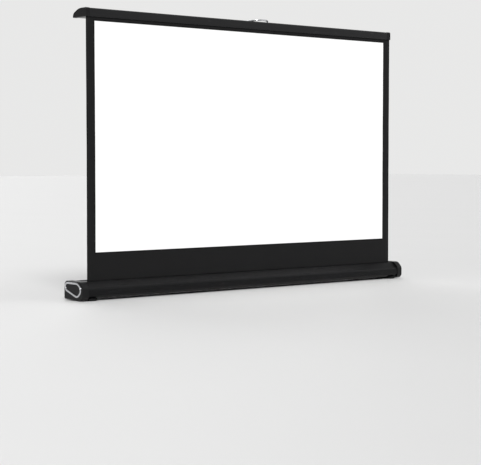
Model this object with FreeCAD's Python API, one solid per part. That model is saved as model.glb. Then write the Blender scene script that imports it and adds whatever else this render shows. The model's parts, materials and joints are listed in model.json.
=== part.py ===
import FreeCAD, Part
import math
import os

os.makedirs("parts", exist_ok=True)

# Portable pull-up table-top projection screen, shown raised. Millimetres, +Z up, +X along the case,
# the screen facing -Y. Sections are drawn in the Y-Z plane about the middle of the case, and everything
# is moved at the end so that the origin lies under the middle of the whole object.

# Fabric
view_width = 1107.0
view_height = 623.0
side_border = 28.0
top_border = 11.0
drop_height = 78.0
fabric_thick = 0.4
fabric_y = -16.0
fabric_foot_z = 44.0

# Case
cap_reach = 34.0
cap_length = 20.0
case_front = -43.0
case_rear = 43.0
case_bottom = 7.0
case_top = 51.0
case_wall = 2.0
cap_proud = 2.0
slot_width = 4.0
strip_gap = 0.35
partition_y = 10.0
seam_setback = 10.0
channel_lip = 6.5
lip_depth = 6.0
ridge_height = 25.0
rear_ridge_height = 23.0
cover_screw_margin = 60.0

# Roller
turns_thick = 1.2
tube_radius = 9.2
tube_wall = 1.0
roller_z = 27.0
roller_overhang = 1.0
roller_rim = 1.2
roller_end_play = 0.5
end_bracket_thick = 2.0
gudgeon_radius = 3.0
rim_proud = 0.8
tongue_flat = 1.8
shaft_length = 330.0
roller_spring_length = 250.0

# Lift arms
arm_width = 18.0
arm_thick = 5.0
arm_wall = 1.6
arm_spread = 60.0
raised_deg = 82.0
lower_arm_y = 27.0
arm_gap = 1.2
pivot_z = 27.0
pivot_radius = 3.0
bracket_thick = 3.0
bracket_foot_thick = 2.0
ear_radius = 10.0
pin_head_proud = 2.0
pin_head_thick = 0.8
bracket_screw_back = 8.0

# Top bar
bar_overhang = 1.5
bar_front = -19.5
bar_rear = 44.0
bar_height = 23.0
bar_wall = 1.8
crest_depth = 35.0
crest_radius = 45.0
rear_fall = 12.5
bar_back_radius = 14.0
bar_seat_gap = 1.5
bar_cap_length = 12.0
hem_height = 10.0
hem_top_gap = 0.6
bar_plug_length = 16.0
bar_plug_gap = 0.1

# Carrying ring
ring_x = 48.0
ring_radius = 36.0
ring_wire = 2.4
ring_tilt_deg = 7.0
ring_pivot_y = 56.0
knuckle_width = 9.0
ring_pin_radius = 1.6
ring_end_gap = 0.4
ring_pin_hold = 4.0
plate_half = 14.0

# Swivel feet
foot_width = 30.0
foot_tip_width = 18.0
foot_rear = 79.0
foot_pivot_y = -28.0
foot_inset = 4.0
foot_gap = 0.5
pad_height = 2.0
foot_waist = 34.0
foot_recess_gap = 3.0

# General
running = 0.05
clear = 0.4
washer_gap = 0.35
washer_width = 4.0
cut_over = 1.0
screw_head_radius = 3.0
screw_shank_radius = 1.4
screw_cone = 1.5
screw_slack = 0.1

# Worked out
fabric_width = view_width + 2 * side_border
half_case = fabric_width / 2 + cap_reach
half_body = half_case - cap_length
half_bar = fabric_width / 2 + bar_overhang
bar_bottom_closed = case_top + bar_seat_gap
bar_bottom = case_top + drop_height + view_height + top_border
travel = bar_bottom - bar_bottom_closed
arm_length = travel / (2 * math.sin(math.radians(raised_deg)))
turns_radius = tube_radius + turns_thick
roller_y = fabric_y + turns_radius
upper_arm_y = lower_arm_y - arm_thick - arm_gap
top_bracket_y = upper_arm_y - arm_thick / 2 - arm_gap - bracket_thick / 2
base_bracket_y = lower_arm_y + arm_thick / 2 + arm_gap + bracket_thick / 2
cap_front = case_front - cap_proud
frame_shift = (cap_front + foot_rear) / 2
crest_y = bar_front + crest_depth
bar_slope = math.atan2(rear_fall, bar_rear - crest_y)
crest_centre_y = crest_y - crest_radius * math.tan(bar_slope / 2)
crest_centre_z = bar_bottom + bar_height - crest_radius
ring_tilt = math.radians(ring_tilt_deg)
ring_lift = crest_radius + ring_wire + clear - (ring_pivot_y - crest_centre_y) * math.sin(ring_tilt)
ring_pivot_z = crest_centre_z + ring_lift / math.cos(ring_tilt)

axis_x = FreeCAD.Vector(1, 0, 0)
axis_y = FreeCAD.Vector(0, 1, 0)
axis_z = FreeCAD.Vector(0, 0, 1)


def place(x, y, z):
    return FreeCAD.Vector(x, y, z)


def rounded_wire(corners):
    """Closed wire through (point, radius) corners, each corner rounded by its own radius."""
    edges = []
    starts = []
    ends = []
    arcs = []
    count = len(corners)
    for i, (point, radius) in enumerate(corners):
        before = (corners[i - 1][0] - point).normalize()
        after = (corners[(i + 1) % count][0] - point).normalize()
        if radius <= 0:
            starts.append(point)
            ends.append(point)
            arcs.append(None)
            continue
        half = before.getAngle(after) / 2
        reach = radius / math.tan(half)
        middle = (before + after).normalize()
        centre = point + middle * (radius / math.sin(half))
        first = point + before * reach
        last = point + after * reach
        starts.append(first)
        ends.append(last)
        arcs.append(Part.Arc(first, centre - middle * radius, last).toShape())
    for i in range(count):
        if arcs[i]:
            edges.append(arcs[i])
        if (ends[i] - starts[(i + 1) % count]).Length > 1e-6:
            edges.append(Part.makeLine(ends[i], starts[(i + 1) % count]))
    return Part.Wire(edges)


def section(corners, x=0.0):
    """Face in the Y-Z plane at x, from (y, z, radius) corners."""
    return Part.Face(rounded_wire([(place(x, y, z), r) for y, z, r in corners]))


def sweep_x(face, start, end):
    moved = face.copy()
    moved.translate(place(start, 0, 0))
    return moved.extrude(place(end - start, 0, 0))


def grown(face, amount):
    return Part.Face(face.OuterWire.makeOffset2D(amount))


def block(x0, x1, y0, y1, z0, z1):
    return Part.makeBox(x1 - x0, y1 - y0, z1 - z0, place(x0, y0, z0))


def rod(radius, start, length, axis):
    return Part.makeCylinder(radius, length, start, axis)


def tube(outer, inner, start, length, axis):
    return rod(outer, start, length, axis).cut(rod(inner, start, length, axis))


def mirrored(shape):
    return shape.mirror(place(0, 0, 0), axis_x)


def save(name, shape):
    moved = shape.copy()
    moved.translate(place(0, -frame_shift, 0))
    moved.exportStep("parts/" + name + ".step")


def save_group(name, shapes):
    save(name, Part.makeCompound(shapes))


def save_pair(name, right):
    save(name + "_right", right)
    save(name + "_left", mirrored(right))


# Case sections: a nose that slopes back up to the fabric slot, a flat deck, and a rear face with a low ridge
ridge_z = case_bottom + ridge_height
rear_ridge_z = case_bottom + rear_ridge_height
case_outline = section(
    [
        (case_front + 7, case_bottom, 5),
        (case_front, case_bottom + 8, 6),
        (case_front, ridge_z, 8),
        (fabric_y - slot_width, case_top, 3),
        (case_rear - 3.5, case_top, 2.5),
        (case_rear, rear_ridge_z, 6),
        (case_rear, case_bottom + 5, 4),
        (case_rear - 5, case_bottom, 4),
    ]
)
case_inner = grown(case_outline, -case_wall)
slot_front = fabric_y - slot_width / 2
slot_rear = fabric_y + slot_width / 2
seam_y = case_front + seam_setback
channel_front = partition_y + case_wall / 2
channel_rear = case_rear - channel_lip
partition_front = partition_y - case_wall / 2
strip_depth = 3.0
strip_top = case_top - 1.0
flange_depth = 9.0
flange_thick = 2.0
cover_screw_y = seam_y + flange_depth / 2
drive_half = 0.4
drive_reach = 2.0
drive_depth = 0.7
nut_room = 7.0


def cover_region():
    """Everything in front of the fabric slot, down to the seam in the case's bottom."""
    front = case_front - cut_over
    floor = case_bottom + case_wall
    upper = block(-half_body, half_body, front, slot_front, floor, case_top + cut_over)
    lower = block(-half_body, half_body, front, seam_y, case_bottom - cut_over, floor)
    return upper.fuse(lower)


def case_ring():
    solid = sweep_x(case_outline, -half_body, half_body)
    return solid.cut(sweep_x(case_inner, -half_body - cut_over, half_body + cut_over))


def cover_screw_places():
    pitch = (half_body - cover_screw_margin) / 3
    return [pitch * i for i in (-3, -2, -1, 0, 1, 2, 3)]


def front_cover():
    cover = case_ring().common(cover_region())
    floor = case_bottom + case_wall
    flange_end = end_bracket_x - end_bracket_thick
    flange_rear = seam_y + flange_depth
    flange_top = floor + flange_thick
    flange = block(-flange_end, flange_end, seam_y - cut_over, flange_rear, floor, flange_top)
    for x in (-foot_x, foot_x):
        room = block(x - nut_room, x + nut_room, seam_y - 2 * cut_over, flange_rear + cut_over, floor,
                     flange_top + cut_over)
        flange = flange.cut(room)
    cover = cover.fuse(flange).removeSplitter()
    for x in cover_screw_places():
        cover = cover.cut(rod(screw_shank_radius, place(x, cover_screw_y, case_bottom - cut_over), 10, axis_z))
    return cover


def case_shell():
    shell = case_ring().cut(cover_region())
    low = case_top - lip_depth
    high = case_top + cut_over
    shell = shell.cut(block(-half_body, half_body, slot_front, slot_rear, low, high))
    shell = shell.cut(block(-half_body, half_body, channel_front, channel_rear, low, high))
    partition = block(-half_body, half_body, partition_front, channel_front, case_bottom + case_wall / 2,
                      strip_top)
    lip = block(-half_body, half_body, slot_rear, slot_rear + case_wall, strip_top - strip_depth, strip_top)
    shell = shell.fuse([partition, lip]).removeSplitter()
    for x in cover_screw_places():
        shell = shell.cut(screw_sink(x))
    for x in (-foot_x, foot_x):
        start = place(x, foot_pivot_y, case_bottom - cut_over)
        shell = shell.cut(rod(foot_screw_radius, start, case_wall + 2 * cut_over, axis_z))
    for side in (-1, 1):
        for reach in (0, bracket_foot_pitch):
            x = side * (arm_spread + bracket_foot_offset + reach)
            start = place(x, base_bracket_y - bracket_screw_back, case_bottom - cut_over)
            shell = shell.cut(rod(screw_shank_radius, start, case_wall + 2 * cut_over, axis_z))
    return shell


def screw_sink(x):
    hole = rod(screw_shank_radius, place(x, cover_screw_y, case_bottom - cut_over), 6, axis_z)
    start = place(x, cover_screw_y, case_bottom)
    cone = Part.makeCone(screw_head_radius, screw_shank_radius, screw_cone, start, axis_z)
    return hole.fuse(cone)


def cover_screw(x):
    shank_radius = screw_shank_radius - screw_slack
    head = Part.makeCone(screw_head_radius - screw_slack, shank_radius, screw_cone,
                         place(x, cover_screw_y, case_bottom), axis_z)
    shank = rod(shank_radius, place(x, cover_screw_y, case_bottom + 1), 4, axis_z)
    drive = block(x - drive_reach, x + drive_reach, cover_screw_y - drive_half, cover_screw_y + drive_half,
                  case_bottom, case_bottom + drive_depth)
    return head.fuse(shank).cut(drive)


# Slot strips: two felt lips that brush the fabric clean, one on each side of the slot
def slot_strips():
    half_gap = fabric_thick / 2 + strip_gap
    low = strip_top - strip_depth
    front = block(-half_body, half_body, slot_front, fabric_y - half_gap, low, strip_top)
    rear = block(-half_body, half_body, fabric_y + half_gap, slot_rear, low, strip_top)
    return front, rear


# End caps: moulded, a little larger than the case all round, with a raised pick-shaped trim ring
cap_bottom = case_bottom - 4
cap_top = case_top + cap_proud
cap_rear = case_rear + cap_proud
cap_outline = section(
    [
        (cap_front + 7, cap_bottom, 5),
        (cap_front, cap_bottom + 9, 7),
        (cap_front, ridge_z + 5, 16),
        (fabric_y - 12, cap_top, 18),
        (cap_rear - 3, cap_top, 11),
        (cap_rear, cap_top - 18, 8),
        (cap_rear, cap_bottom, 5),
    ]
)
cap_chamfer = 1.8
spigot_length = 7.0
spigot_wall = 2.4
spigot_gap = 0.1
spigot_room = 0.2
spigot_drop = 8.0
trim_band = 5.0
trim_proud = 1.2
trim_sink = 1.2
trim_rounding = 0.8
panel_sink = 0.6
trim_outline = section(
    [
        (cap_front + 24, cap_bottom + 3.5, 20),
        (cap_front + 2.2, cap_bottom + 26, 15),
        (fabric_y - 8, cap_top - 3.4, 26),
        (cap_rear - 3.4, cap_top - 3.4, 13),
        (cap_rear - 4.4, cap_bottom + 24, 13),
    ]
)


def trim_ring():
    """Silver band sunk into the outer face of the right end cap."""
    band = sweep_x(trim_outline, half_case - trim_sink, half_case + trim_proud)
    inside = grown(trim_outline, -trim_band)
    band = band.cut(sweep_x(inside, half_case - trim_sink - cut_over, half_case + trim_proud + cut_over))
    face_x = half_case + trim_proud
    rims = [e for e in band.Edges if abs(e.BoundBox.XMin - face_x) < 0.01 and e.BoundBox.XLength < 0.01]
    return band.makeFillet(trim_rounding, rims)


def end_cap():
    cap = sweep_x(cap_outline, half_body, half_case)
    outer = [e for e in cap.Edges if e.BoundBox.XMin > half_case - 0.01]
    cap = cap.makeChamfer(cap_chamfer, outer)
    inner_end = half_body - spigot_length
    start = inner_end - cut_over
    high = case_top + lip_depth
    plug = sweep_x(grown(case_inner, -spigot_gap), inner_end, half_body)
    plug = plug.cut(sweep_x(grown(case_inner, -spigot_gap - spigot_wall), start, half_body))
    plug = plug.cut(block(start, half_body, partition_front - spigot_room, channel_front + spigot_room,
                          0, high))
    plug = plug.cut(block(start, half_body, slot_front - spigot_room, cap_rear, case_top - spigot_drop, high))
    plug = plug.cut(block(start, half_body, seam_y - 2, seam_y + 8, 0, case_bottom + 5))
    cap = cap.fuse(plug)
    inside = grown(trim_outline, -trim_band)
    groove = sweep_x(trim_outline, half_case - trim_sink, half_case + cut_over)
    groove = groove.cut(sweep_x(inside, half_case - trim_sink - cut_over, half_case + 2 * cut_over))
    panel = sweep_x(inside, half_case - panel_sink, half_case + cut_over)
    return cap.cut(groove).cut(panel).cut(end_socket())


# Roller: a sprung tube inside the case. The left end turns on the spring shaft, the right end on a gudgeon pin
half_tube = fabric_width / 2 + roller_overhang
end_bracket_x = half_tube + roller_rim + roller_end_play
pin_tail = 1.5
plug_length = 24.0
gudgeon_depth = 14.0
flat_cut = 2.0


def end_socket():
    """Hollow behind the right end cap's face, kept clear for the ends of the roller pins."""
    return rod(7, place(half_body - spigot_length - 1, roller_y, roller_z), spigot_length + 8, axis_x)


def roller_tube():
    start = place(-half_tube, roller_y, roller_z)
    return tube(tube_radius, tube_radius - tube_wall, start, 2 * half_tube, axis_x)


def roller_plug_right():
    start = place(half_tube - plug_length, roller_y, roller_z)
    inside = rod(tube_radius - tube_wall, start, plug_length, axis_x)
    rim = rod(tube_radius + rim_proud, place(half_tube, roller_y, roller_z), roller_rim, axis_x)
    bore = rod(gudgeon_radius, place(half_tube - gudgeon_depth, roller_y, roller_z), 20, axis_x)
    return inside.fuse(rim).cut(bore)


def roller_plug_left():
    start = -half_tube
    inside = rod(tube_radius - tube_wall, place(start, roller_y, roller_z), plug_length, axis_x)
    rim = rod(tube_radius + rim_proud, place(start - roller_rim, roller_y, roller_z), roller_rim, axis_x)
    bore = rod(gudgeon_radius + running, place(start - 3, roller_y, roller_z), plug_length + 4, axis_x)
    return inside.fuse(rim).cut(bore)


def gudgeon_pin():
    start = half_tube - gudgeon_depth
    end = end_bracket_x + end_bracket_thick + pin_tail
    return rod(gudgeon_radius, place(start, roller_y, roller_z), end - start, axis_x)


def spring_shaft():
    """Fixed shaft through the left plug, with a flat tongue that the left bracket holds still."""
    start = -end_bracket_x - end_bracket_thick - pin_tail
    shaft = rod(gudgeon_radius, place(start, roller_y, roller_z), shaft_length, axis_x)
    for side in (-1, 1):
        middle = roller_z + side * (tongue_flat + flat_cut)
        shaft = shaft.cut(block(start - cut_over, -end_bracket_x + cut_over, roller_y - 5, roller_y + 5,
                                middle - flat_cut, middle + flat_cut))
    return shaft


spring_wire = 0.9
spring_mean = 5.6
spring_pitch = 9.0


def roller_spring():
    """Coil that winds up as the fabric is pulled out, anchored on the fixed shaft."""
    start = -half_tube + plug_length + 6
    helix = Part.makeHelix(spring_pitch, roller_spring_length, spring_mean)
    profile = Part.Wire([Part.makeCircle(spring_wire, place(spring_mean, 0, 0), axis_y)])
    coil = Part.Wire(helix.Edges).makePipeShell([profile], True, True)
    coil.rotate(place(0, 0, 0), axis_y, 90)
    coil.translate(place(start, roller_y, roller_z))
    return coil


def fabric_turns():
    half = fabric_width / 2
    return tube(turns_radius, tube_radius, place(-half, roller_y, roller_z), 2 * half, axis_x)


def roller_bracket():
    """Upright plate inside the right end of the case that carries the roller pin."""
    inner = grown(case_inner, -0.2)
    plate = sweep_x(inner, end_bracket_x, end_bracket_x + end_bracket_thick)
    keep = block(end_bracket_x - 1, end_bracket_x + 5, slot_front - 20, partition_front - 0.2, 0, case_top - 7)
    return plate.common(keep)


def roller_bracket_right():
    bore = rod(gudgeon_radius + running, place(end_bracket_x - 1, roller_y, roller_z), 6, axis_x)
    return roller_bracket().cut(bore)


def roller_bracket_left():
    start = -end_bracket_x - 5
    tongue = block(start, start + 6, roller_y - 2 * gudgeon_radius, roller_y + 2 * gudgeon_radius,
                   roller_z - tongue_flat, roller_z + tongue_flat)
    round_part = rod(gudgeon_radius + running, place(start, roller_y, roller_z), 6, axis_x)
    return mirrored(roller_bracket()).cut(tongue.common(round_part))


# Fabric: one sheet from just inside the case up into the groove of the top bar
def screen_fabric():
    half = fabric_width / 2
    return block(-half, half, fabric_y - fabric_thick / 2, fabric_y + fabric_thick / 2,
                 fabric_foot_z, bar_bottom + hem_height)


# Lift arms: on each side a lower and an upper arm that fold flat into the rear channel of the case
lean = math.radians(raised_deg)
elbow_x = arm_spread + arm_length * math.cos(lean)
elbow_z = pivot_z + arm_length * math.sin(lean)
top_pivot_z = pivot_z + travel
bracket_foot_offset = 16.0
bracket_foot_pitch = 22.0


def arm(x0, z0, x1, z1, middle_y, bore_start, bore_end):
    """Flat oval-ended bar between two pivots, hollowed out between them."""
    span = place(x1 - x0, 0, z1 - z0)
    start = place(x0, middle_y - arm_thick / 2, z0)
    body = block(0, span.Length, 0, arm_thick, -arm_width / 2, arm_width / 2)
    for x in (0, span.Length):
        body = body.fuse(rod(arm_width / 2, place(x, 0, 0), arm_thick, axis_y))
    body = body.removeSplitter()
    recess = block(arm_width, span.Length - arm_width, arm_wall, arm_thick + 1, -arm_width / 2 + arm_wall,
                   arm_width / 2 - arm_wall)
    body = body.cut(recess)
    body = body.cut(rod(bore_start, place(0, -1, 0), arm_thick + 2, axis_y))
    body = body.cut(rod(bore_end, place(span.Length, -1, 0), arm_thick + 2, axis_y))
    body.rotate(place(0, 0, 0), axis_y, -math.degrees(math.atan2(span.z, span.x)))
    body.translate(start)
    return body


def lower_arm():
    return arm(arm_spread, pivot_z, elbow_x, elbow_z, lower_arm_y, pivot_radius + running, pivot_radius)


def upper_arm():
    bore = pivot_radius + running
    return arm(elbow_x, elbow_z, arm_spread, top_pivot_z, upper_arm_y, bore, bore)


def pivot_pin(x, z, y_start, y_end, head_at_start):
    """Shouldered rivet along Y, with a low domed head on one end."""
    pin = rod(pivot_radius, place(x, y_start, z), y_end - y_start, axis_y)
    head_y = y_start - 2 if head_at_start else y_end
    return pin.fuse(rod(pivot_radius + 2.2, place(x, head_y, z), 2, axis_y))


def elbow_pin():
    start = upper_arm_y - arm_thick / 2 - clear
    end = lower_arm_y + arm_thick / 2
    pin = pivot_pin(elbow_x, elbow_z, start, end, True)
    return pin.fuse(rod(pivot_radius + 2.2, place(elbow_x, end, elbow_z), 1, axis_y))


def elbow_washer():
    start = place(elbow_x, upper_arm_y + arm_thick / 2 + washer_gap, elbow_z)
    return tube(pivot_radius + washer_width, pivot_radius + running, start, arm_gap - washer_gap, axis_y)


def base_pin():
    start = lower_arm_y - arm_thick / 2 - washer_gap
    end = base_bracket_y + bracket_thick / 2
    pin = rod(pivot_radius, place(arm_spread, start, pivot_z), end - start, axis_y)
    return pin.fuse(rod(pivot_radius + pin_head_proud, place(arm_spread, end, pivot_z), pin_head_thick, axis_y))


lift_spring_wire = 0.7
lift_spring_coils = 3
lift_spring_room = 3.2
lift_spring_pitch = 1.7
lift_spring_leg = 30.0


def lift_spring():
    """Torsion spring behind the base bracket, coiled round the pivot, that carries most of the bar's weight."""
    start = base_bracket_y + bracket_thick / 2 + pin_head_thick + lift_spring_wire
    mean = pivot_radius + lift_spring_room
    pitch = lift_spring_pitch * lift_spring_wire
    coils = [Part.makeTorus(mean, lift_spring_wire, place(arm_spread, start + pitch * i, pivot_z), axis_y)
             for i in range(lift_spring_coils)]
    leg = rod(lift_spring_wire, place(arm_spread, start, pivot_z + mean), lift_spring_leg, axis_x)
    shape = coils[0]
    return shape.fuse(coils[1:] + [leg])


def base_bracket():
    """Steel angle on the channel floor, behind the lower arm, with its pivot ear."""
    front = base_bracket_y - bracket_thick / 2
    rear = base_bracket_y + bracket_thick / 2
    floor = case_bottom + case_wall
    first = arm_spread - ear_radius
    ear = block(first, arm_spread + ear_radius, front, rear, floor, pivot_z)
    ear = ear.fuse(rod(ear_radius, place(arm_spread, front, pivot_z), bracket_thick, axis_y))
    last = arm_spread + bracket_foot_offset + bracket_foot_pitch + 8
    foot = block(first, last, base_bracket_y - 14, rear, floor, floor + bracket_foot_thick)
    shape = ear.fuse(foot).removeSplitter()
    shape = shape.cut(rod(pivot_radius, place(arm_spread, front - 1, pivot_z), bracket_thick + 2, axis_y))
    for reach in (0, bracket_foot_pitch):
        x = arm_spread + bracket_foot_offset + reach
        start = place(x, base_bracket_y - bracket_screw_back, 0)
        shape = shape.cut(rod(screw_shank_radius + 2 * screw_slack, start, 30, axis_z))
    return shape


def bracket_screws():
    screws = []
    floor = case_bottom + case_wall
    for side in (-1, 1):
        for reach in (0, bracket_foot_pitch):
            x = side * (arm_spread + bracket_foot_offset + reach)
            y = base_bracket_y - bracket_screw_back
            head = rod(screw_head_radius - clear, place(x, y, floor + bracket_foot_thick), 1.6, axis_z)
            shank = rod(screw_shank_radius - running, place(x, y, case_bottom + 2 * screw_slack),
                        case_wall + bracket_foot_thick, axis_z)
            screws.append(head.fuse(shank))
    return screws


# Top bar: flat front and top, back falling away in a curve, hollow, with a groove for the fabric's hem
groove_gap = 0.35
groove_front = fabric_y - fabric_thick / 2 - groove_gap
groove_rear = fabric_y + fabric_thick / 2 + groove_gap
bar_outline = section(
    [
        (bar_front, bar_bottom, 0.8),
        (bar_front, bar_bottom + bar_height, 3.5),
        (crest_y, bar_bottom + bar_height, crest_radius),
        (bar_rear, bar_bottom + bar_height - rear_fall, bar_back_radius),
        (bar_rear, bar_bottom, 0.8),
    ]
)
batten_thick = 4.0


def bar_hollow():
    hollow = sweep_x(grown(bar_outline, -bar_wall), -half_bar, half_bar)
    low = bar_bottom + hem_height + 2
    solid_front = block(-half_bar, half_bar, bar_front, groove_rear + batten_thick + 1.5, bar_bottom, low)
    return hollow.cut(solid_front)


def top_bar():
    bar = sweep_x(bar_outline, -half_bar + bar_cap_length, half_bar - bar_cap_length).cut(bar_hollow())
    pocket = block(-half_bar, half_bar, groove_front, groove_rear + batten_thick, bar_bottom - 1,
                   bar_bottom + hem_height + hem_top_gap)
    return bar.cut(pocket).cut(handle_screw_holes())


def hem_batten():
    """Flat strip, slid in from the end, that closes the rear of the hem groove."""
    half = half_bar - bar_cap_length
    return block(-half, half, groove_rear, groove_rear + batten_thick, bar_bottom + clear,
                 bar_bottom + hem_height + clear)


bar_cap_proud = 0.8
bar_cap_chamfer = 1.2
bar_cap_outline = grown(bar_outline, bar_cap_proud)


def bar_end_cap():
    """Moulded cap on the right end of the bar, slightly proud, with a plug inside the hollow."""
    start = half_bar - bar_cap_length
    cap = sweep_x(bar_cap_outline, start, half_bar)
    rim = [e for e in cap.Edges if e.BoundBox.XMin > half_bar - 0.01]
    cap = cap.makeChamfer(bar_cap_chamfer, rim)
    slit = block(start - cut_over, fabric_width / 2 + clear, groove_front, groove_rear, bar_bottom - 2,
                 bar_bottom + hem_height + hem_top_gap)
    cap = cap.cut(slit)
    plug_start = start - bar_plug_length
    plug = sweep_x(grown(bar_outline, -bar_wall - bar_plug_gap), plug_start, start)
    hollow = sweep_x(grown(bar_outline, -bar_wall - bar_plug_gap - 2), plug_start - cut_over, start)
    keep_out = block(plug_start - cut_over, start, bar_front, groove_rear + batten_thick + 2, bar_bottom - 1,
                     bar_bottom + hem_height + 2.2)
    return cap.fuse(plug.cut(hollow).cut(keep_out))


def top_bracket():
    """Steel angle under the bar, in front of the upper arm, with its pivot ear."""
    front = top_bracket_y - bracket_thick / 2
    ear = block(arm_spread - ear_radius, arm_spread + ear_radius, front, front + bracket_thick, top_pivot_z,
                bar_bottom)
    ear = ear.fuse(rod(ear_radius, place(arm_spread, front, top_pivot_z), bracket_thick, axis_y))
    reach = 16
    flange = block(arm_spread - reach, arm_spread + reach, channel_front + clear, front + reach,
                   bar_bottom - bracket_foot_thick, bar_bottom)
    shape = ear.fuse(flange).removeSplitter()
    return shape.cut(rod(pivot_radius, place(arm_spread, front - 1, top_pivot_z), bracket_thick + 2, axis_y))


def top_pin():
    start = top_bracket_y - bracket_thick / 2
    end = upper_arm_y + arm_thick / 2 + washer_gap
    pin = rod(pivot_radius, place(arm_spread, start, top_pivot_z), end - start, axis_y)
    head = place(arm_spread, start - pin_head_thick, top_pivot_z)
    return pin.fuse(rod(pivot_radius + pin_head_proud, head, pin_head_thick, axis_y))


# Carrying ring: a wire ring that lies over the bar and turns on a pin through a knuckle behind it
ring_centre_y = ring_pivot_y - ring_radius * math.cos(ring_tilt)
ring_centre_z = ring_pivot_z + ring_radius * math.sin(ring_tilt)


def ring_axis():
    return place(0, math.sin(ring_tilt), math.cos(ring_tilt))


def ring_handle():
    ring = Part.makeTorus(ring_radius, ring_wire, place(ring_x, ring_centre_y, ring_centre_z), ring_axis())
    gap = knuckle_width / 2 + ring_end_gap
    room = 8
    opening = block(ring_x - gap, ring_x + gap, ring_pivot_y - room, ring_pivot_y + room,
                    ring_pivot_z - room, ring_pivot_z + room)
    bore = rod(ring_pin_radius, place(ring_x - gap - 5, ring_pivot_y, ring_pivot_z), 2 * gap + 10, axis_x)
    return ring.cut(opening).cut(bore)


def ring_pin():
    reach = knuckle_width / 2 + ring_end_gap + ring_pin_hold
    return rod(ring_pin_radius, place(ring_x - reach, ring_pivot_y, ring_pivot_z), 2 * reach, axis_x)


knuckle_radius = 4.6
knuckle_plate = 1.8


def handle_knuckle():
    """Block bolted to the back of the bar, reaching out to the ring's pin."""
    start = ring_x - knuckle_width / 2
    seat = section(
        [
            (bar_rear - 16, bar_bottom + 7, 1),
            (bar_rear - 16, bar_bottom + bar_height - 5, 1),
            (bar_rear - 6, bar_bottom + bar_height - 7, 2),
            (ring_pivot_y, ring_pivot_z + knuckle_radius, 0.5),
            (ring_pivot_y + 1, ring_pivot_z - knuckle_radius, 0.5),
            (bar_rear + 1, bar_bottom + 7, 2),
        ]
    )
    shape = sweep_x(seat, start, start + knuckle_width)
    shape = shape.fuse(rod(knuckle_radius, place(start, ring_pivot_y, ring_pivot_z), knuckle_width, axis_x))
    plate = block(ring_x - plate_half, ring_x + plate_half, bar_rear - 15, bar_rear + 3, bar_bottom + 6,
                  bar_bottom + bar_height - 2)
    skin = grown(bar_outline, knuckle_plate)
    plate = plate.common(sweep_x(skin, ring_x - plate_half - cut_over, ring_x + plate_half + cut_over))
    shape = shape.fuse(plate).cut(sweep_x(bar_outline, -half_bar, half_bar)).removeSplitter()
    shape = shape.cut(rod(ring_pin_radius + running, place(start - 1, ring_pivot_y, ring_pivot_z), 20, axis_x))
    return shape.cut(handle_screw_holes())


handle_screw_y = bar_rear - 12.0
handle_screw_spread = 9.5
handle_screw_radius = 1.2
bar_normal = place(0, math.sin(bar_slope), math.cos(bar_slope))


def handle_screw_places():
    z = bar_bottom + bar_height - (handle_screw_y - crest_y) * math.tan(bar_slope)
    return [place(ring_x + side * handle_screw_spread, handle_screw_y, z) for side in (-1, 1)]


def handle_screw_holes():
    holes = [rod(handle_screw_radius, point - bar_normal * 6, 12, bar_normal)
             for point in handle_screw_places()]
    return Part.makeCompound(holes)


def handle_screws():
    """Round-headed screws that hold the knuckle's plate on the back of the bar."""
    screws = []
    for point in handle_screw_places():
        head = rod(2 * handle_screw_radius, point + bar_normal * knuckle_plate, 1.2, bar_normal)
        shank = rod(handle_screw_radius - 0.05, point - bar_normal * 5, 5 + knuckle_plate, bar_normal)
        screws.append(head.fuse(shank))
    return screws


# Swivel feet: one under each end of the case, pointing backward, with a rubber pad underneath
foot_x = half_body - foot_width / 2 - foot_inset
foot_screw_radius = 3.0
foot_front = case_front + 1
foot_top = case_bottom - foot_gap


def foot_outline(margin):
    """Plan of the right foot: round about its pivot in front, tapering to a round tip behind."""
    wide = foot_width / 2 - margin
    narrow = foot_tip_width / 2 - margin
    front = foot_front + margin
    rear = foot_rear - margin
    corners = [
        (place(foot_x - wide, front, 0), 9),
        (place(foot_x + wide, front, 0), 9),
        (place(foot_x + wide, foot_pivot_y + foot_waist, 0), 20),
        (place(foot_x + narrow, rear, 0), 6),
        (place(foot_x - narrow, rear, 0), 6),
        (place(foot_x - wide, foot_pivot_y + foot_waist, 0), 20),
    ]
    return Part.Face(rounded_wire(corners))


def swivel_foot():
    face = foot_outline(0)
    face.translate(place(0, 0, pad_height))
    foot = face.extrude(place(0, 0, foot_top - pad_height))
    top = [e for e in foot.Edges if e.BoundBox.ZMin > foot_top - 0.01]
    foot = foot.makeChamfer(0.8, top)
    foot = foot.cut(rod(foot_screw_radius + running, place(foot_x, foot_pivot_y, 0), 20, axis_z))
    recess = rod(foot_screw_radius + foot_recess_gap, place(foot_x, foot_pivot_y, 0), pad_height + 1.6, axis_z)
    return foot.cut(recess)


def foot_pad():
    face = foot_outline(3)
    pad = face.extrude(place(0, 0, pad_height))
    start = place(foot_x, foot_pivot_y, -cut_over)
    pad = pad.cut(rod(foot_screw_radius + foot_recess_gap, start, pad_height + 2 * cut_over, axis_z))
    low = [e for e in pad.Edges if e.BoundBox.ZMax < 0.01 and e.BoundBox.XLength + e.BoundBox.YLength > 15]
    return pad.makeChamfer(0.4, low)


def foot_screw():
    """Shouldered screw from below, fixed in the case's bottom, that the foot turns on."""
    head = rod(foot_screw_radius + 2.2, place(foot_x, foot_pivot_y, pad_height + 0.4), 1.0, axis_z)
    top = case_bottom + case_wall
    shank = rod(foot_screw_radius, place(foot_x, foot_pivot_y, pad_height + 1), top + 0.5 - pad_height, axis_z)
    nut = rod(foot_screw_radius + 2, place(foot_x, foot_pivot_y, top), 1.8, axis_z)
    return head.fuse(shank).fuse(nut)


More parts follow.
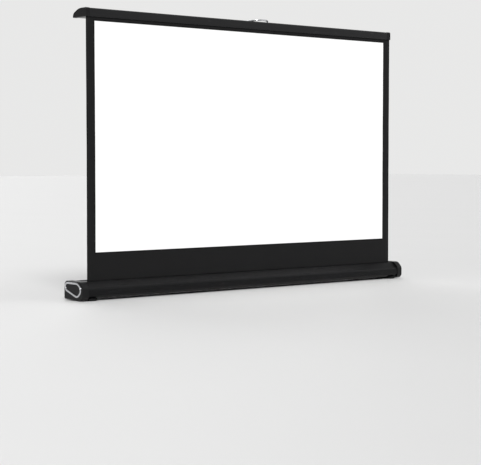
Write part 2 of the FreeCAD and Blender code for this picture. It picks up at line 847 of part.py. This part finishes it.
# Deck bumpers: four rubber dots that the lowered bar lands on
def deck_bumpers():
    bumper_y = (slot_rear + partition_front) / 2 + 1
    return [rod(3, place(x, bumper_y, case_top), bar_seat_gap - clear, axis_z)
            for x in (-half_bar + 60, -half_bar / 3, half_bar / 3, half_bar - 60)]


save("case_shell", case_shell())
save("case_front_cover", front_cover())
save_group("cover_screws", [cover_screw(x) for x in cover_screw_places()])
save_pair("end_cap", end_cap())
save_pair("trim_ring", trim_ring())
strip_front, strip_rear = slot_strips()
save("slot_strip_front", strip_front)
save("slot_strip_rear", strip_rear)
save_group("deck_bumpers", deck_bumpers())

save("roller_bracket_right", roller_bracket_right())
save("roller_bracket_left", roller_bracket_left())
save("spring_shaft", spring_shaft())
save("roller_spring", roller_spring())
save("roller_tube", roller_tube())
save("roller_plug_right", roller_plug_right())
save("roller_plug_left", roller_plug_left())
save("gudgeon_pin", gudgeon_pin())
save("fabric_turns", fabric_turns())
save("screen_fabric", screen_fabric())

save_pair("arm_base_bracket", base_bracket())
save_pair("base_pivot_pin", base_pin())
save_pair("lift_spring", lift_spring())
save_group("bracket_screws", bracket_screws())
save_pair("lower_arm", lower_arm())
save_pair("upper_arm", upper_arm())
save_pair("elbow_pin", elbow_pin())
save_pair("elbow_washer", elbow_washer())

save("top_bar", top_bar())
save_pair("bar_end_cap", bar_end_cap())
save("hem_batten", hem_batten())
save_pair("arm_top_bracket", top_bracket())
save_pair("top_pivot_pin", top_pin())
save("handle_knuckle", handle_knuckle())
save_group("handle_screws", handle_screws())
save("ring_pin", ring_pin())
save("ring_handle", ring_handle())

save_pair("swivel_foot", swivel_foot())
save_pair("foot_pad", foot_pad())
save_pair("foot_screw", foot_screw())
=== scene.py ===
import json
import math

import bmesh
import bpy
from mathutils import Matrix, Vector


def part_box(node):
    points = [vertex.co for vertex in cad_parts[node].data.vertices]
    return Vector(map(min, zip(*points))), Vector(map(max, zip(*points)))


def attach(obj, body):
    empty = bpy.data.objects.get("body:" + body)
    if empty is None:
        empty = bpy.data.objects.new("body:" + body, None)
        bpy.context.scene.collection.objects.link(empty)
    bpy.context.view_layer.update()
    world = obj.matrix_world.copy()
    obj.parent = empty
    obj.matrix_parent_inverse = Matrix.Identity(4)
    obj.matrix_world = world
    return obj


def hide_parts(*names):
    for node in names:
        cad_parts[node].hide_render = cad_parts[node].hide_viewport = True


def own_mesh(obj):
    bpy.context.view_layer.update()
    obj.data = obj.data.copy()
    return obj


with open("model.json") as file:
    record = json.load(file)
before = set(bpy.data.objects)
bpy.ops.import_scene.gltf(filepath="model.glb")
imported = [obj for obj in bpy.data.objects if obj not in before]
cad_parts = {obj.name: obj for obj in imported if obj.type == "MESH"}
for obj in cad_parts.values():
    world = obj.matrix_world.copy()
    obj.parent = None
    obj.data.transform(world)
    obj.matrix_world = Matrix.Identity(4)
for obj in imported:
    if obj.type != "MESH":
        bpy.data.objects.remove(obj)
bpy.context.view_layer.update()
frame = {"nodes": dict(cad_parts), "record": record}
print("frame loaded:", len(frame["nodes"]), "CAD nodes")


class Wire:  # one socket in a material; arithmetic on it adds Math nodes
    def __init__(self, finish, socket):
        self.finish = finish
        self.socket = socket

    def math(self, operation, first, second=0.0, clamp=False):
        return self.finish.add("ShaderNodeMath", {"operation": operation, "use_clamp": clamp},
                               {0: first, 1: second})

    def __add__(self, other):
        return self.math("ADD", self, other)

    def __radd__(self, other):
        return self.math("ADD", other, self)

    def __sub__(self, other):
        return self.math("SUBTRACT", self, other)

    def __rsub__(self, other):
        return self.math("SUBTRACT", other, self)

    def __mul__(self, other):
        return self.math("MULTIPLY", self, other)

    def __rmul__(self, other):
        return self.math("MULTIPLY", other, self)

    def distance(self):
        return self.math("ABSOLUTE", self)

    def wave(self):
        return self.math("SINE", self)

    def least(self, other):
        return self.math("MINIMUM", self, other)

    def clamped(self):
        return self.math("ADD", self, 0.0, clamp=True)

    def output(self, name):  # another output of the same node
        return Wire(self.finish, self.socket.node.outputs[name])


class Finish:  # one material, or the sky, and the single way nodes are added to it
    def __init__(self, name, owner=None):
        self.owner = owner or bpy.data.materials.new(name)
        self.owner.use_nodes = True
        self.tree = self.owner.node_tree
        self.tree.nodes.clear()

    def add(self, kind, settings=None, sockets=None, output=0):
        node = self.tree.nodes.new(kind)
        for key, value in (settings or {}).items():
            setattr(node, key, value)
        for key, value in (sockets or {}).items():
            self.put(node.inputs[key], value)
        return Wire(self, node.outputs[output]) if len(node.outputs) else None

    def put(self, socket, value):
        if isinstance(value, Wire):
            self.tree.links.new(value.socket, socket)
        elif socket.type == "RGBA":
            socket.default_value = (*value, 1.0)
        else:
            socket.default_value = value

    def noise(self, point, scale, detail=3.0, stretch=None):
        if stretch:
            point = self.add("ShaderNodeMapping", None, {"Vector": point, "Scale": stretch})
        return self.add("ShaderNodeTexNoise", None, {"Vector": point, "Scale": scale, "Detail": detail})

    def mixed(self, first, second, amount):
        return self.add("ShaderNodeMix", {"data_type": "RGBA"}, {0: amount, 6: first, 7: second}, output=2)

    def done(self, colour, rough, height, depth, constants):
        normal = self.add("ShaderNodeBump", None, {"Distance": depth, "Height": height})
        shader = self.add("ShaderNodeBsdfPrincipled", None,
                          {"Base Color": colour, "Roughness": rough, "Normal": normal, **constants})
        self.add("ShaderNodeOutputMaterial", None, {"Surface": shader})
        return self.owner


# Finishes of the hard parts

wear = {
    "patchDetail": 4.0,
    "grainDetail": 2.0,
    "scuffDetail": 6.0,
    "scuffStretch": (1, 1, 3),
    "scuffFrom": 0.62,  # only the peaks of the noise become scuffs
    "scuffContrast": 9.0,
    "scuffRough": 0.15,
    "scuffHeight": 0.4,
    "dustColour": (0.22, 0.21, 0.20),
    "dustFacing": 0.7,  # how far up a face looks before dust settles on it
    "dustRough": 0.5,
}


def hardFinish(name, look):
    finish = Finish(name)
    place = finish.add("ShaderNodeTexCoord", output="Object")
    patch = finish.noise(place, look["patch"], wear["patchDetail"])
    grain = finish.noise(place, look["grain"], wear["grainDetail"], look.get("stretch"))
    scratches = finish.noise(place, look["scuffScale"], wear["scuffDetail"], wear["scuffStretch"])
    scuff = ((scratches - wear["scuffFrom"]) * wear["scuffContrast"]).clamped() * look["scuff"]
    facing = finish.add("ShaderNodeSeparateXYZ", None, {0: place.output("Normal")}, output="Z")
    settled = ((facing - wear["dustFacing"]) * (1 / (1 - wear["dustFacing"]))).clamped()
    dust = settled * patch * look["dust"]
    colour = finish.mixed(look["deep"], look["pale"], patch)
    colour = finish.mixed(colour, look["worn"], scuff)
    colour = finish.mixed(colour, wear["dustColour"], dust)
    rough = (grain - 0.5) * look["roughSpread"] + look["rough"]
    rough = rough + scuff * wear["scuffRough"] + dust * wear["dustRough"]
    height = grain + scuff * wear["scuffHeight"]
    return finish.done(colour, rough.clamped(), height, look["depth"], look["shader"])


lengthwise = (0.015, 1.0, 1.0)  # stretches a grain along the case

hardLooks = {
    "satin_black_aluminium": {
        "deep": (0.0035, 0.0035, 0.0038), "pale": (0.007, 0.007, 0.0076), "worn": (0.03, 0.03, 0.032),
        "patch": 5.0, "grain": 620.0, "stretch": lengthwise, "scuffScale": 34.0, "scuff": 0.30,
        "dust": 0.03, "rough": 0.33, "roughSpread": 0.14, "depth": 0.00002,
        "shader": {"Metallic": 0.0, "Specular IOR Level": 0.34},
    },
    "case_aluminium": {
        "deep": (0.0030, 0.0030, 0.0033), "pale": (0.006, 0.006, 0.0066), "worn": (0.03, 0.03, 0.032),
        "patch": 5.0, "grain": 620.0, "stretch": lengthwise, "scuffScale": 34.0, "scuff": 0.26,
        "dust": 0.03, "rough": 0.29, "roughSpread": 0.12, "depth": 0.00002,
        "shader": {"Metallic": 0.0, "Specular IOR Level": 0.14},
    },
    "black_plastic": {
        "deep": (0.0030, 0.0030, 0.0034), "pale": (0.006, 0.006, 0.0065), "worn": (0.025, 0.025, 0.026),
        "patch": 14.0, "grain": 1500.0, "scuffScale": 60.0, "scuff": 0.20,
        "dust": 0.03, "rough": 0.38, "roughSpread": 0.14, "depth": 0.00005,
        "shader": {"Metallic": 0.0, "Specular IOR Level": 0.22},
    },
    "silver_trim": {
        "deep": (0.60, 0.61, 0.63), "pale": (0.74, 0.75, 0.77), "worn": (0.45, 0.45, 0.46),
        "patch": 30.0, "grain": 1800.0, "stretch": (1.0, 0.2, 0.2), "scuffScale": 90.0, "scuff": 0.25,
        "dust": 0.04, "rough": 0.27, "roughSpread": 0.16, "depth": 0.000012,
        "shader": {"Metallic": 1.0},
    },
    "polished_wire": {
        "deep": (0.66, 0.67, 0.69), "pale": (0.78, 0.79, 0.80), "worn": (0.5, 0.5, 0.51),
        "patch": 40.0, "grain": 2400.0, "scuffScale": 120.0, "scuff": 0.30,
        "dust": 0.03, "rough": 0.15, "roughSpread": 0.10, "depth": 0.000008,
        "shader": {"Metallic": 1.0},
    },
    "black_felt": {
        "deep": (0.002, 0.002, 0.002), "pale": (0.009, 0.009, 0.009), "worn": (0.02, 0.02, 0.02),
        "patch": 420.0, "grain": 3200.0, "scuffScale": 300.0, "scuff": 0.5,
        "dust": 0.04, "rough": 0.92, "roughSpread": 0.10, "depth": 0.0004,
        "shader": {"Metallic": 0.0, "Sheen Weight": 0.35, "Sheen Roughness": 0.5},
    },
    "black_rubber": {
        "deep": (0.005, 0.005, 0.005), "pale": (0.011, 0.011, 0.011), "worn": (0.03, 0.03, 0.029),
        "patch": 60.0, "grain": 900.0, "scuffScale": 140.0, "scuff": 0.4,
        "dust": 0.06, "rough": 0.76, "roughSpread": 0.14, "depth": 0.00012,
        "shader": {"Metallic": 0.0, "Specular IOR Level": 0.3},
    },
    "bare_steel": {
        "deep": (0.40, 0.40, 0.41), "pale": (0.56, 0.56, 0.57), "worn": (0.30, 0.29, 0.28),
        "patch": 90.0, "grain": 2600.0, "stretch": (1.0, 0.15, 1.0), "scuffScale": 200.0, "scuff": 0.35,
        "dust": 0.05, "rough": 0.34, "roughSpread": 0.20, "depth": 0.000015,
        "shader": {"Metallic": 1.0},
    },
    "painted_bracket": {
        "deep": (0.006, 0.006, 0.0065), "pale": (0.011, 0.011, 0.0115), "worn": (0.07, 0.07, 0.07),
        "patch": 40.0, "grain": 1100.0, "scuffScale": 110.0, "scuff": 0.45,
        "dust": 0.05, "rough": 0.48, "roughSpread": 0.18, "depth": 0.00006,
        "shader": {"Metallic": 0.0, "Coat Weight": 0.2, "Coat Roughness": 0.35},
    },
    "painted_arm": {
        "deep": (0.005, 0.005, 0.0055), "pale": (0.010, 0.010, 0.011), "worn": (0.05, 0.05, 0.052),
        "patch": 16.0, "grain": 1300.0, "scuffScale": 70.0, "scuff": 0.38,
        "dust": 0.04, "rough": 0.42, "roughSpread": 0.16, "depth": 0.00006,
        "shader": {"Metallic": 0.1, "Coat Weight": 0.2, "Coat Roughness": 0.3},
    },
    "nylon_washer": {
        "deep": (0.60, 0.59, 0.55), "pale": (0.70, 0.69, 0.65), "worn": (0.45, 0.44, 0.41),
        "patch": 200.0, "grain": 2000.0, "scuffScale": 260.0, "scuff": 0.3,
        "dust": 0.05, "rough": 0.40, "roughSpread": 0.12, "depth": 0.00002,
        "shader": {"Metallic": 0.0, "Subsurface Weight": 0.1, "Subsurface Scale": 0.001},
    },
    "bare_aluminium": {
        "deep": (0.50, 0.50, 0.52), "pale": (0.62, 0.62, 0.64), "worn": (0.40, 0.40, 0.41),
        "patch": 12.0, "grain": 1600.0, "stretch": lengthwise, "scuffScale": 60.0, "scuff": 0.3,
        "dust": 0.03, "rough": 0.36, "roughSpread": 0.18, "depth": 0.00002,
        "shader": {"Metallic": 1.0},
    },
}
ownFinish = {  # nodes that differ from the rest of their slot
    "ring_handle": "polished_wire",
    "case_shell": "case_aluminium",
    "case_front_cover": "case_aluminium",
}

finishes = {name: hardFinish(name, look) for name, look in hardLooks.items()}
print("hard finishes made:", len(finishes))


# The projection cloth: matt white with black borders, black behind

cloth = {
    "sideBorder": 0.028,
    "topBorder": 0.011,
    "viewHeight": 0.623,
    "thickness": 0.0004,
    "white": (0.93, 0.93, 0.925),
    "black": (0.0052, 0.0052, 0.0055),
    "line": (0.0008, 0.0008, 0.0008),  # the pressed lines at the border's two edges
    "faded": (0.010, 0.010, 0.0105),
    "lineWidth": 0.0034,
    "edgeSoftness": 0.0004,
    "threadPitch": 0.0007,
    "weaveDepth": 0.00004,
    "face": {"patch": 9.0, "detail": 4.0, "fading": 0.3, "rough": 0.62, "whiteRough": 0.3,
             "threadRough": 0.08, "borderHeight": 0.5},
    "back": {"patch": 12.0, "detail": 5.0, "rough": 0.68, "threadRough": 0.12, "patchRough": 0.1},
    "specular": 0.16,
    "sidePullIn": 0.0006,  # how far the free sides draw in at half height
    "ripple": 0.00015,
    "edgeWaves": 4.5,  # ripples from slot to bar, strongest at the free sides
    "crossWaves": 2.5,  # and from side to side
    "crossShare": 0.4,
    "columns": 96,
    "rows": 64,
    "uv": "clothFlat",
    "closedGap": 0.0015,  # bar to case with the screen shut
}

clothLow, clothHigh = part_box("screen_fabric")
clothWidth = clothHigh.x - clothLow.x
clothLength = clothHigh.z - clothLow.z
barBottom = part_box("top_bar")[0].z


def weave(across, along):
    turn = 2 * math.pi / cloth["threadPitch"]
    return (across * turn).wave() * (along * turn).wave() * 0.5 + 0.5


def flatCoordinates(finish):
    flat = finish.add("ShaderNodeUVMap", {"uv_map": cloth["uv"]})
    across = finish.add("ShaderNodeSeparateXYZ", None, {0: flat}, output="X")
    return flat, across, across.output("Y")


def screenFace():
    face = cloth["face"]
    finish = Finish("screenFace")
    flat, across, along = flatCoordinates(finish)
    viewTop = barBottom - cloth["topBorder"] - clothLow.z
    viewMiddle = viewTop - cloth["viewHeight"] / 2
    sideways = (across - clothWidth / 2).distance()
    inSide = clothWidth / 2 - cloth["sideBorder"] - sideways
    inHeight = cloth["viewHeight"] / 2 - (along - viewMiddle).distance()
    inside = inSide.least(inHeight)
    view = (inside * (1 / cloth["edgeSoftness"]) + 0.5).clamped()
    fromView = (inside.distance() - cloth["lineWidth"]) * (1 / cloth["edgeSoftness"])
    fromEdge = (clothWidth / 2 - sideways - cloth["lineWidth"]) * (1 / cloth["edgeSoftness"])
    openBorder = fromView.least(fromEdge).clamped()
    threads = weave(across, along)
    mottle = finish.noise(flat, face["patch"], face["detail"])
    border = finish.mixed(cloth["line"], cloth["black"], openBorder)
    border = finish.mixed(border, cloth["faded"], mottle * face["fading"] * openBorder)
    colour = finish.mixed(border, cloth["white"], view)
    rough = face["rough"] + face["whiteRough"] * view + face["threadRough"] * (threads - 0.5)
    height = threads + openBorder * face["borderHeight"]
    return finish.done(colour, rough, height, cloth["weaveDepth"],
                       {"Metallic": 0.0, "Specular IOR Level": cloth["specular"]})


def screenBack():
    back = cloth["back"]
    finish = Finish("screenBack")
    flat, across, along = flatCoordinates(finish)
    threads = weave(across, along)
    mottle = finish.noise(flat, back["patch"], back["detail"])
    colour = finish.mixed(cloth["black"], cloth["faded"], mottle)
    rough = back["rough"] + back["threadRough"] * (threads - 0.5) + back["patchRough"] * (mottle - 0.5)
    return finish.done(colour, rough, threads, cloth["weaveDepth"], {"Specular IOR Level": cloth["specular"]})


clothFinishes = [screenFace(), screenBack()]


def clothSheet(name, path, columns, shape=None):
    # path holds (y, z, outward y, outward z, run) from the start of the cloth to its end
    mesh = bmesh.new()
    flat = mesh.loops.layers.uv.new(cloth["uv"])
    half = cloth["thickness"] / 2
    last = len(path) - 1
    sides = {1: [], -1: []}
    cut = {}
    for side, grid in sides.items():
        for j, (y, z, outY, outZ, run) in enumerate(path):
            row = []
            for i in range(columns + 1):
                share = i / columns - 0.5
                drawn, push = shape(share, j / last) if shape else (0.0, 0.0)
                reach = push + side * half
                vert = mesh.verts.new((share * (clothWidth - 2 * drawn), y + outY * reach, z + outZ * reach))
                cut[vert] = ((share + 0.5) * clothWidth, run)
                row.append(vert)
            grid.append(row)
    for side, grid in sides.items():
        for j in range(last):
            for i in range(columns):
                face = mesh.faces.new((grid[j][i], grid[j][i + 1], grid[j + 1][i + 1], grid[j + 1][i]))
                face.material_index = 0 if side > 0 else 1
                face.smooth = True
    front, back = sides[1], sides[-1]
    rims = [([row[0] for row in front], [row[0] for row in back]),
            ([row[-1] for row in front], [row[-1] for row in back]),
            (front[0], back[0]), (front[-1], back[-1])]
    for near, far in rims:
        for k in range(len(near) - 1):
            mesh.faces.new((near[k], near[k + 1], far[k + 1], far[k])).material_index = 1
    bmesh.ops.recalc_face_normals(mesh, faces=mesh.faces)
    for face in mesh.faces:
        for loop in face.loops:
            loop[flat].uv = cut[loop.vert]
    data = bpy.data.meshes.new(name)
    mesh.to_mesh(data)
    mesh.free()
    for material in clothFinishes:
        data.materials.append(material)
    piece = bpy.data.objects.new(name, data)
    bpy.context.scene.collection.objects.link(piece)
    return piece


def hangingShape(share, rise):
    free = math.sin(math.pi * rise)
    drawn = cloth["sidePullIn"] * free ** 2
    nearSide = abs(share * 2) ** 4
    upward = math.sin(2 * math.pi * cloth["edgeWaves"] * rise)
    sideways = math.sin(2 * math.pi * cloth["crossWaves"] * share)
    return drawn, cloth["ripple"] * free * (nearSide * upward + cloth["crossShare"] * sideways)


clothY = (clothLow.y + clothHigh.y) / 2
raisedPath = [(clothY, clothLow.z + clothLength * j / cloth["rows"], -1, 0, clothLength * j / cloth["rows"])
              for j in range(cloth["rows"] + 1)]
screenCloth = clothSheet("screenCloth", raisedPath, cloth["columns"], hangingShape)
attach(screenCloth, "case")
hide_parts("screen_fabric")
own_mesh(screenCloth)
print("raised cloth made")


# The cloth left on the roller, wound as a spiral, and the short run up to the slot

roll = {
    "turns": 2.75,
    "spacing": 1.02,  # from one turn to the next, in cloth thicknesses
    "steps": 64,
    "tailSteps": 4,
}

turnsLow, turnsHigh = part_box("fabric_turns")
rollerY = (turnsLow.y + turnsHigh.y) / 2
rollerZ = (turnsLow.z + turnsHigh.z) / 2
outerRadius = (turnsHigh.z - turnsLow.z) / 2 - cloth["thickness"] / 2
rollPath = []
rollRun = 0.0
rollSteps = int(roll["turns"] * roll["steps"])
for step in range(rollSteps + 1):
    left = roll["turns"] * (1 - step / rollSteps)
    angle = math.pi + 2 * math.pi * left
    radius = outerRadius - cloth["thickness"] * roll["spacing"] * left
    rollPath.append((rollerY + radius * math.cos(angle), rollerZ + radius * math.sin(angle),
                     math.cos(angle), math.sin(angle), rollRun))
    rollRun += radius * 2 * math.pi / roll["steps"]
woundCloth = clothSheet("woundCloth", rollPath, 1)
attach(woundCloth, "roller")
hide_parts("fabric_turns")

tailLength = clothLow.z - rollerZ
tailPath = [(clothY, rollerZ + tailLength * j / roll["tailSteps"], -1, 0, tailLength * j / roll["tailSteps"])
            for j in range(roll["tailSteps"] + 1)]
clothTail = clothSheet("clothTail", tailPath, 1)
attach(clothTail, "case")
print("wound cloth made:", round(rollRun, 4), "m on the roller")


# Parts that repeat, made with Geometry Nodes

class NodeShape:  # a node tree with named inputs, run once on an object and turned into its mesh
    def __init__(self, name):
        self.tree = bpy.data.node_groups.new(name, "GeometryNodeTree")
        self.tree.interface.new_socket("Geometry", in_out="OUTPUT", socket_type="NodeSocketGeometry")
        self.tree.interface.new_socket("Geometry", in_out="INPUT", socket_type="NodeSocketGeometry")
        self.start = self.tree.nodes.new("NodeGroupInput")
        self.identifiers = {}

    def input(self, name, kind, value):
        socket = self.tree.interface.new_socket(name, in_out="INPUT", socket_type="NodeSocket" + kind)
        self.identifiers[name] = (socket.identifier, value)
        return self.start.outputs[name]

    def add(self, kind, settings=None, sockets=None):
        node = self.tree.nodes.new(kind)
        for key, value in (settings or {}).items():
            setattr(node, key, value)
        for key, value in (sockets or {}).items():
            if isinstance(value, (bpy.types.NodeSocket, list)):
                for link in value if isinstance(value, list) else [value]:
                    self.tree.links.new(link, node.inputs[key])
            else:
                node.inputs[key].default_value = value
        return node

    def made(self, name, geometry, material, points=()):
        real = self.add("GeometryNodeRealizeInstances", None, {"Geometry": geometry})
        dressed = self.add("GeometryNodeSetMaterial", None,
                           {"Geometry": real.outputs[0], "Material": material})
        end = self.tree.nodes.new("NodeGroupOutput")
        self.tree.links.new(dressed.outputs[0], end.inputs[0])
        data = bpy.data.meshes.new(name + "Points")
        data.from_pydata([tuple(p) for p in points], [], [])
        source = bpy.data.objects.new(name + "Source", data)
        bpy.context.scene.collection.objects.link(source)
        modifier = source.modifiers.new("shape", "NODES")
        modifier.node_group = self.tree
        for identifier, value in self.identifiers.values():
            modifier[identifier] = value
        ready = source.evaluated_get(bpy.context.evaluated_depsgraph_get())
        mesh = bpy.data.meshes.new_from_object(ready)
        source.modifiers.clear()
        bpy.data.objects.remove(source)
        mesh.name = name
        piece = bpy.data.objects.new(name, mesh)
        bpy.context.scene.collection.objects.link(piece)
        return piece


bristles = {
    "pitch": 0.0016,
    "height": 0.0011,
    "radius": 0.00022,
    "tip": 0.00008,
    "sides": 5,
    "lean": 0.30,
    "seed": 7,
    "rows": (0.3, 0.7),  # where each row stands in the strip's width
}


def bristleRow(name, strip):
    low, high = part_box(strip)
    count = int((high.x - low.x) / bristles["pitch"])
    points = [(low.x + (i + 0.5) * bristles["pitch"], low.y + (high.y - low.y) * row, high.z)
              for row in bristles["rows"] for i in range(count)]
    shape = NodeShape(name + "Nodes")
    height = shape.input("Height", "Float", bristles["height"])
    radius = shape.input("Radius", "Float", bristles["radius"])
    lean = shape.input("Lean", "Float", bristles["lean"])
    seed = shape.input("Seed", "Int", bristles["seed"])
    hair = shape.add("GeometryNodeMeshCone", None,
                     {"Vertices": bristles["sides"], "Radius Bottom": radius, "Radius Top": bristles["tip"],
                      "Depth": height})
    back = shape.add("ShaderNodeMath", {"operation": "MULTIPLY"}, {0: lean, 1: -1.0})
    leanLow = shape.add("ShaderNodeCombineXYZ", None, {0: back.outputs[0], 1: back.outputs[0]})
    leanHigh = shape.add("ShaderNodeCombineXYZ", None, {0: lean, 1: lean})
    tilt = shape.add("FunctionNodeRandomValue", {"data_type": "FLOAT_VECTOR"},
                     {0: leanLow.outputs[0], 1: leanHigh.outputs[0], "Seed": seed})
    planted = shape.add("GeometryNodeInstanceOnPoints", None,
                        {"Points": shape.start.outputs["Geometry"], "Instance": hair.outputs["Mesh"],
                         "Rotation": tilt.outputs[0]})
    piece = shape.made(name, planted.outputs[0], finishes["black_felt"], points)
    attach(piece, "case")


bristleRow("frontBristles", "slot_strip_front")
bristleRow("rearBristles", "slot_strip_rear")
print("slot bristles made")

rivets = {"radius": 0.0044, "crown": 0.0026, "height": 0.0006, "rings": 12, "flatness": 0.35, "sides": 32}


def rivetHeads(name, body, pins):
    points = []
    for pin, ends in pins:
        low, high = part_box(pin)
        for end in ends:
            middle = (low + high) / 2
            points.append((middle.x, low.y if end < 0 else high.y, middle.z))
    shape = NodeShape(name + "Nodes")
    radius = shape.input("Radius", "Float", rivets["radius"])
    crown = shape.input("Crown", "Float", rivets["crown"])
    height = shape.input("Height", "Float", rivets["height"])
    rim = shape.add("GeometryNodeMeshCylinder", None,
                    {"Vertices": rivets["sides"], "Radius": radius, "Depth": height})
    dome = shape.add("GeometryNodeMeshUVSphere", None,
                     {"Segments": rivets["sides"], "Rings": rivets["rings"], "Radius": crown})
    flat = shape.add("GeometryNodeTransform", None,
                     {"Geometry": dome.outputs["Mesh"], "Scale": (1.0, 1.0, rivets["flatness"])})
    both = shape.add("GeometryNodeJoinGeometry", None, {"Geometry": [rim.outputs["Mesh"], flat.outputs[0]]})
    turned = shape.add("GeometryNodeTransform", None,
                       {"Geometry": both.outputs[0], "Rotation": (math.pi / 2, 0.0, 0.0)})
    placed = shape.add("GeometryNodeInstanceOnPoints", None,
                       {"Points": shape.start.outputs["Geometry"], "Instance": turned.outputs[0]})
    piece = shape.made(name, placed.outputs[0], finishes["bare_steel"], points)
    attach(piece, body)


for side in ("right", "left"):
    rivetHeads("elbowRivets_" + side, "lower_arm_" + side, [("elbow_pin_" + side, (-1, 1))])
rivetHeads("barRivets", "top_bar", [("top_pivot_pin_right", (-1,)), ("top_pivot_pin_left", (-1,))])
print("rivet heads made")

liftSpring = {"wire": 0.0007, "mean": 0.0062, "turns": 3.5, "leg": 0.030, "resolution": 40, "sides": 12}


def liftSpringCoil(side, sign):
    node = "lift_spring_" + side
    low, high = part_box(node)
    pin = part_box("base_pivot_pin_" + side)
    centreX = (pin[0].x + pin[1].x) / 2
    centreZ = (pin[0].z + pin[1].z) / 2
    span = high.y - low.y - 2 * liftSpring["wire"]
    shape = NodeShape(node + "Nodes")
    wire = shape.input("Wire Radius", "Float", liftSpring["wire"])
    mean = shape.input("Coil Radius", "Float", liftSpring["mean"])
    turns = shape.input("Turns", "Float", liftSpring["turns"])
    rise = shape.input("Width", "Float", span)
    coil = shape.add("GeometryNodeCurveSpiral", None,
                     {"Resolution": liftSpring["resolution"], "Rotations": turns, "Start Radius": mean,
                      "End Radius": mean, "Height": rise})
    lying = shape.add("GeometryNodeTransform", None,
                      {"Geometry": coil.outputs[0], "Rotation": (-math.pi / 2, 0.0, 0.0),
                       "Translation": (centreX, low.y + liftSpring["wire"], centreZ)})
    leg = shape.add("GeometryNodeCurvePrimitiveLine", None,
                    {"Start": (centreX, low.y + liftSpring["wire"], centreZ + liftSpring["mean"]),
                     "End": (centreX + sign * liftSpring["leg"], low.y + liftSpring["wire"],
                             centreZ + liftSpring["mean"])})
    both = shape.add("GeometryNodeJoinGeometry", None, {"Geometry": [lying.outputs[0], leg.outputs[0]]})
    ring = shape.add("GeometryNodeCurvePrimitiveCircle", None,
                     {"Resolution": liftSpring["sides"], "Radius": wire})
    solid = shape.add("GeometryNodeCurveToMesh", None,
                      {"Curve": both.outputs[0], "Profile Curve": ring.outputs[0], "Fill Caps": True})
    piece = shape.made("liftCoil_" + side, solid.outputs[0], finishes["bare_steel"])
    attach(piece, "case")
    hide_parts(node)


liftSpringCoil("right", 1)
liftSpringCoil("left", -1)
print("lift springs made")


# The CAD nodes' finishes, by the slot each takes

for part in frame["record"]["subparts"]:
    node = frame["nodes"][part["node"]]
    chosen = ownFinish.get(part["node"], part["material_slot"])
    if chosen not in finishes:
        continue  # cloth nodes are replaced
    if not node.material_slots:
        node.data.materials.append(finishes[chosen])
    for entry in node.material_slots:
        entry.material = finishes[chosen]
print("CAD nodes dressed")


# Floor, light and camera

studio = {
    "floorSize": 60.0,
    "floorColour": (0.68, 0.68, 0.675),
    "floorShade": 0.97,  # the darker end of its cloudiness
    "floorCloud": 1.5,
    "floorGrain": 160.0,
    "floorRough": 0.6,
    "floorRoughSpread": 0.1,
    "floorDepth": 0.00005,
    "seenSky": (0.81, 0.81, 0.806),  # what the camera sees behind the floor
    "lightingSky": (0.42, 0.42, 0.425),  # what lights the object
    "target": (0.0, 0.0, 0.4),
    "lampDistance": 3,
    # name: direction the light comes from, angle across in degrees, strength
    "suns": {"keySun": ((-0.45, -0.75, 0.75), 24.0, 2.5), "fillSun": ((0.7, -0.5, 0.55), 50.0, 0.35),
             "backSun": ((0.3, 0.8, 0.6), 40.0, 0.8)},
}


def studioFloor():
    finish = Finish("paleFloor")
    place = finish.add("ShaderNodeTexCoord", output="Object")
    cloud = finish.noise(place, studio["floorCloud"])
    fine = finish.noise(place, studio["floorGrain"], 2.0)
    shade = tuple(part * studio["floorShade"] for part in studio["floorColour"])
    colour = finish.mixed(shade, studio["floorColour"], cloud)
    rough = studio["floorRough"] + studio["floorRoughSpread"] * (fine - 0.5)
    half = studio["floorSize"] / 2
    corners = [(-half, -half, 0), (half, -half, 0), (half, half, 0), (-half, half, 0)]
    data = bpy.data.meshes.new("studioFloor")
    data.from_pydata(corners, [], [(0, 1, 2, 3)])
    data.materials.append(finish.done(colour, rough, fine, studio["floorDepth"], {}))
    floor = bpy.data.objects.new("studioFloor", data)
    bpy.context.scene.collection.objects.link(floor)


studioFloor()
sky = Finish("studioSky", bpy.data.worlds.new("studioSky"))
seen = sky.add("ShaderNodeLightPath", output="Is Camera Ray")
skyColour = sky.mixed(studio["lightingSky"], studio["seenSky"], seen)
skyGlow = sky.add("ShaderNodeBackground", None, {"Color": skyColour})
sky.add("ShaderNodeOutputWorld", None, {"Surface": skyGlow})
bpy.context.scene.world = sky.owner
for name, (direction, angle, strength) in studio["suns"].items():
    lamp = bpy.data.lights.new(name, "SUN")
    lamp.angle = math.radians(angle)
    lamp.energy = strength
    light = bpy.data.objects.new(name, lamp)
    light.location = Vector(studio["target"]) + Vector(direction) * studio["lampDistance"]
    light.rotation_euler = Vector(direction).to_track_quat("Z", "Y").to_euler()
    bpy.context.scene.collection.objects.link(light)
bpy.context.scene.view_settings.view_transform = "Standard"

eye = {"place": (-2.742, -3.232, 0.373), "yaw": 40.18, "pitch": -2.82, "lens": 106.9, "sensor": 36.0,
       "nearest": 0.05, "farthest": 100.0}
lensData = bpy.data.cameras.new("studioCamera")
lensData.lens = eye["lens"]
lensData.sensor_width = eye["sensor"]
lensData.clip_start = eye["nearest"]
lensData.clip_end = eye["farthest"]
camera = bpy.data.objects.new("studioCamera", lensData)
camera.location = eye["place"]
camera.rotation_euler = (math.radians(90 + eye["pitch"]), 0.0, math.radians(-eye["yaw"]))
bpy.context.scene.collection.objects.link(camera)
bpy.context.scene.camera = camera
print("studio ready")
